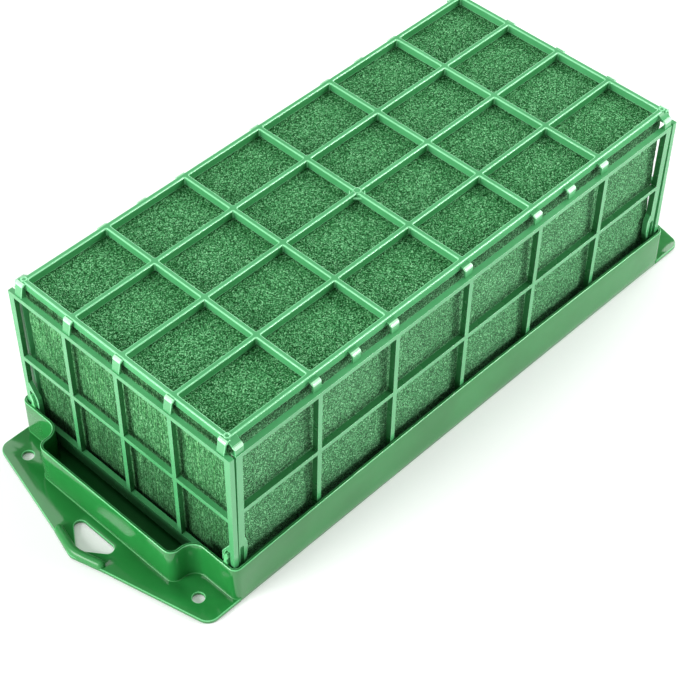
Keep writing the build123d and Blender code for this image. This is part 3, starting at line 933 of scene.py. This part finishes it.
def flat_plate(outline, holes, low, high, edge):
    """A plate with holes and rounded edges; every loop keeps the material on its left-hand side."""
    loops = [outline if area_of(outline) > 0 else outline[::-1]]
    loops += [hole if area_of(hole) < 0 else hole[::-1] for hole in holes]
    profile = [(edge, high), (edge * 0.3, high - edge * 0.3), (0.0, high - edge),
               (0.0, low + edge), (edge * 0.3, low + edge * 0.3), (edge, low)]
    shape = Shape()
    bm = bmesh.new()
    cap_edges = []
    for loop in loops:
        n = len(loop)
        start = len(shape.verts)
        for distance, z in profile:
            shape.verts += [(x, y, z) for x, y in inset_loop(loop, distance)]
        for s in range(len(profile) - 1):
            for k in range(n):
                m = (k + 1) % n
                o = start + s * n
                shape.faces.append((o + k, o + n + k, o + n + m, o + m))
        ring = [bm.verts.new((x, y, 0)) for x, y in inset_loop(loop, edge)]
        cap_edges += [bm.edges.new((ring[k], ring[(k + 1) % n])) for k in range(n)]
    bmesh.ops.triangle_fill(bm, use_beauty=True, use_dissolve=False, edges=cap_edges)
    bm.verts.index_update()
    flat = [(v.co.x, v.co.y) for v in bm.verts]
    caps = [tuple(v.index for v in f.verts) for f in bm.faces]
    bm.free()
    shape.add([(x, y, high) for x, y in flat], caps)
    shape.add([(x, y, low) for x, y in flat], [tuple(reversed(f)) for f in caps])
    return shape


def end_part(inset):
    """The stretch of the tray's outline round the front end, from the right corner to the left corner."""
    loop = tray_loop(inset, bow_at(TAB_T))
    return loop[LONG_SIDE_STEPS + 1:len(loop) // 2]


def tab_shape():
    """A hang tab: a plate with its hang opening and screw holes, and a fillet up the tray's wall."""
    break_x, break_y = TAB_BREAK
    corners = [(-TAB_ROOT_X, HALF_W), (-TAB_SHOULDER_X, HALF_W), (-break_x, break_y), (-TAB_TIP_X, 0)]
    corners += [(x, -y) for x, y in reversed(corners[:-1])]
    outer = rounded(corners, [0, 5.0, 3.0, 6.0, 3.0, 5.0, 0], 8)
    outline = outer + end_part(0.6)
    base, tip = OPENING_X
    holes = [rounded([(-base, OPENING_HALF_W), (-tip, 0), (-base, -OPENING_HALF_W)], [2.5, 1.5, 2.5], 8)]
    for y in (-SCREW_Y, SCREW_Y):
        holes.append(arc((-SCREW_X, y), SCREW_R, 0, 360, 32)[:-1])
    shape = flat_plate(outline, holes, TAB_FOOT, TAB_T, TAB_EDGE_R)
    fillet = [(0.34, 0.0), (0.18, 0.06), (0.06, 0.18), (0.0, 0.34)]
    loops = [(end_part(-out), TAB_T + up - 0.01) for up, out in fillet]
    start = len(shape.verts)
    n = len(loops[0][0])
    for loop, z in loops:
        shape.verts += [(x, y, z) for x, y in loop]
    for s in range(len(loops) - 1):
        for k in range(n - 1):
            a = start + s * n + k
            shape.faces.append((a, a + 1, a + 1 + n, a + n))
    return shape


def grip_path(steps=40):
    """The grip's middle line: a V with a softened tip, along the tab's two outer edges."""
    slope = (TAB_TIP_X - TAB_BREAK[0]) / TAB_BREAK[1]
    inward = GRIP_WIDTH / 2 * math.sqrt(1 + slope * slope)
    y_end = GRIP_HIGH[1] - GRIP_WIDTH / 2
    path = []
    for k in range(steps + 1):
        y = y_end * (1 - 2 * k / steps)
        soft = math.sqrt(y * y + GRIP_TIP_SOFT ** 2)
        path.append((-TAB_TIP_X + inward + slope * soft - slope * GRIP_TIP_SHIFT, y))
    return path


def grip_stations(total, steps=7):
    """(point on the path, shift along it, size) for each cross-section: both ends are rounded off."""
    half = GRIP_WIDTH / 2
    turn = [math.pi / 2 * k / steps for k in range(steps)]
    stations = [(0, -half * math.cos(a), math.sin(a)) for a in turn]
    stations += [(k, 0.0, 1.0) for k in range(total + 1)]
    return stations + [(total, half * math.cos(a), math.sin(a)) for a in reversed(turn)]


def grip_shape():
    """The V-shaped grip: a half-round bar with rounded ends that follows the tab's tip."""
    sunk = 0.3
    height = GRIP_HIGH[2] - TAB_T + sunk
    path = grip_path()
    total = len(path) - 1
    stations = grip_stations(total)
    shape = Shape()
    profile_steps = 10
    for index, shift, size in stations:
        here = np.array(path[index])
        before, after = np.array(path[max(index - 1, 0)]), np.array(path[min(index + 1, total)])
        tangent = (after - before) / np.linalg.norm(after - before)
        normal = np.array((-tangent[1], tangent[0]))
        centre = here + tangent * shift
        swell = 0.55 + 0.45 * size if size > 0 else 0.9 * 0.55
        for m in range(profile_steps + 1):
            a = math.pi * m / profile_steps
            up = max(math.sin(a), 0.0) ** 0.75
            point = centre + normal * math.cos(a) * GRIP_WIDTH / 2 * max(size, 0.05)
            shape.verts.append((point[0], point[1], TAB_T - sunk + height * up * swell))
    m = profile_steps + 1
    for s in range(len(stations) - 1):
        for k in range(profile_steps):
            a = s * m + k
            shape.faces.append((a, a + 1, a + 1 + m, a + m))
        shape.faces.append((s * m, (s + 1) * m, (s + 2) * m - 1, (s + 1) * m - 1))
    shape.faces.append(tuple(range(m)))
    last = (len(stations) - 1) * m
    shape.faces.append(tuple(range(last + m - 1, last - 1, -1)))
    return shape


def hook_shape(side):
    """A snap hook: a thin upright blade with a waist and a rounded head, on the tray's end wall."""
    points = [(53.4, FLOOR - 0.2), (55.3, FLOOR - 0.2), (55.5, 19.4), (54.9, 20.9), (55.95, 22.5),
              (55.6, 24.6), (54.6, 24.6), (53.75, 22.4), (53.85, 21.0), (53.35, 19.4)]
    radii = [0.2, 0.2, 0.5, 0.7, 0.7, 0.5, 0.5, 0.7, 0.7, 0.5]
    outline = rounded([(side * y, z) for y, z in points], radii, 5)
    blade = prism(outline, 0.0, HOOK_T)
    return blade.moved(lambda v: np.array((WALL - HALF_L + v[2] - 0.1, v[0], v[1])))


def tray_fittings():
    """At each end: the hang tab, its grip and two snap hooks."""
    for end, word in ((-1, "front"), (1, "rear")):
        tab, grip = facing(end, tab_shape()), facing(end, grip_shape())
        tab_piece = build(f"{word}_hang_flange", tab, "tray_plastic", smooth_angle=35)
        # painted highlights on the tab's rounded edges
        paint_edge_highlight(tab_piece, TAB_T - 0.29, TAB_T - 0.02)
        # the fillet up the wall: satin finish with a painted highlight
        paint(tab_piece, TRAY_SATIN_PAINTED_HIGHLIGHT, lambda centre, normal: centre[2] > TAB_T + 0.01)
        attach(tab_piece, "tray")
        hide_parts(f"{word}_hang_tab")
        grip_piece = build(f"{word}_finger_grip", grip, "tray_plastic", smooth_angle=60)
        # the grip: satin finish with a painted highlight
        grip_piece.data.materials[0] = TRAY_SATIN_PAINTED_HIGHLIGHT
        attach(grip_piece, "tray")
        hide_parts(f"{word}_grip_bar")
        for side, hand in ((-1, "right"), (1, "left")):
            hook = facing(end, hook_shape(side if end < 0 else -side))
            piece = build(f"{word}_{hand}_snap_hook", hook, "tray_plastic", bevel=HOOK_EDGE)
            # painted highlight: the whole hook takes the pale edge green
            piece.data.materials[0] = TRAY_PAINTED_HIGHLIGHT
            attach(piece, "tray")
            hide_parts(f"{word}_{hand}_hook")


# ------------------------------------------------------------------ foam
def graded(low, high, step):
    """Positions along one edge of the foam, closer together near its ends."""
    near = [0.0, 0.2, 0.45, 0.8, 1.3, 2.0]
    count = int(round((high - low - 2 * near[-1]) / step))
    middle = list(np.linspace(low + near[-1], high - near[-1], count + 1))
    return [low + d for d in near[:-1]] + middle + [high - d for d in reversed(near[:-1])]


def worn_block(points):
    """The foam's surface points with worn edges, a slight sink and saw ridges on the ends."""
    def uneven(p, scale, shift=(0, 0, 0)):
        return noise.noise(Vector(p) * scale + Vector(shift))

    worn = np.array([0.9 + 0.5 * uneven(p, 0.09) + 0.35 * uneven(p, 0.6) for p in points])
    worn = np.clip(worn, 0.35, 1.6)[:, None]
    inner = np.clip(points, FOAM_LOW + worn, FOAM_HIGH - worn)
    away = points - inner
    length = np.linalg.norm(away, axis=1, keepdims=True)
    length[length == 0] = 1
    direction = away / length
    points = inner + direction * worn
    rough = np.array([0.16 * uneven(p, 0.16) + 0.16 * uneven(p, 0.85, (7, 3, 1)) for p in points])
    ridges = np.array([0.16 * noise.noise(Vector((3, p[1] * 0.9, p[2] * 0.02))) for p in points])
    inset = 0.16 + np.abs(rough) + np.abs(direction[:, 0]) * np.abs(ridges)
    return points - direction * inset[:, None]


def foam():
    """The foam brick: a fine grid of points on each face, worn and roughened."""
    step = 1.0
    axes = [graded(FOAM_LOW[a], FOAM_HIGH[a], step) for a in range(3)]
    shape = Shape()
    for axis in range(3):
        u_axis, v_axis = [a for a in range(3) if a != axis]
        us, vs = axes[u_axis], axes[v_axis]
        for value in (FOAM_LOW[axis], FOAM_HIGH[axis]):
            start = len(shape.verts)
            for u in us:
                for v in vs:
                    point = [0.0, 0.0, 0.0]
                    point[axis], point[u_axis], point[v_axis] = value, u, v
                    shape.verts.append(tuple(point))
            m = len(vs)
            for i in range(len(us) - 1):
                for j in range(m - 1):
                    a = start + i * m + j
                    shape.faces.append((a, a + m, a + m + 1, a + 1))
    piece = build("floral_foam_block", shape, "floral_foam", smooth_angle=180)
    mesh = piece.data
    co = np.zeros(len(mesh.vertices) * 3)
    mesh.vertices.foreach_get("co", co)
    co = worn_block(co.reshape(-1, 3) / MM)
    mesh.vertices.foreach_set("co", (co * MM).ravel())
    mesh.update()
    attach(piece, "foam")
    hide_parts("foam_brick")


top_net()
straps()
side_panels()
end_panels()
tray()
tray_fittings()
foam()


# ------------------------------------------------------------------ ground, light and camera
def ground():
    """A wide pale ground, a hair below the tray."""
    mesh = bpy.data.meshes.new("ground")
    size = 6.0
    corners = [(-size, -size, 0), (size, -size, 0), (size, size, 0), (-size, size, 0)]
    mesh.from_pydata(corners, [], [(0, 1, 2, 3)])
    floor = bpy.data.objects.new("ground", mesh)
    floor.location.z = -0.0002
    bpy.context.scene.collection.objects.link(floor)
    mesh.materials.append(floor_material())


def area(name, place, target, width, height, power):
    """A soft rectangular light that faces a target."""
    data = bpy.data.lights.new(name, "AREA")
    data.shape = "RECTANGLE"
    data.size, data.size_y = width, height
    data.energy = power
    lamp = bpy.data.objects.new(name, data)
    lamp.location = place
    lamp.rotation_euler = (Vector(target) - Vector(place)).to_track_quat("-Z", "Y").to_euler()
    bpy.context.scene.collection.objects.link(lamp)


def studio():
    """An even white surround and six soft lights aimed at the brick's middle."""
    world = bpy.data.worlds.new("studio")
    bpy.context.scene.world = world
    world.use_nodes = True
    shade = world.node_tree.nodes["Background"]
    shade.inputs["Color"].default_value = (1, 1, 1, 1)
    shade.inputs["Strength"].default_value = 0.32
    middle = (0, 0, 0.05)
    area("key_left", (-1.20, 0.30, 0.48), middle, 0.6, 0.6, 18)
    area("top_back", (0.05, 1.15, 1.0), middle, 0.8, 1.0, 3.8)
    area("back_right", (0.95, -0.1, 0.9), middle, 0.7, 0.7, 6)
    area("back_wall", (1.3, 0.75, 0.35), middle, 1.2, 0.5, 5.5)
    area("overhead_strip", (-0.2, 0.1, 1.3), middle, 0.16, 0.8, 1.4)
    area("fill_right", (0.66, -0.98, 0.50), middle, 0.45, 0.4, 11)


def camera():
    """The camera, looking down on the brick's near right corner."""
    data = bpy.data.cameras.new("camera")
    data.sensor_width = 36
    data.lens = CAMERA_LENS
    data.clip_start = 0.01
    data.clip_end = 50
    eye = bpy.data.objects.new("camera", data)
    eye.location = CAMERA_PLACE
    eye.rotation_euler = Vector(CAMERA_FORWARD).to_track_quat("-Z", "Y").to_euler()
    bpy.context.scene.collection.objects.link(eye)
    bpy.context.scene.camera = eye


ground()
studio()
camera()
bpy.context.scene.view_settings.view_transform = "Standard"
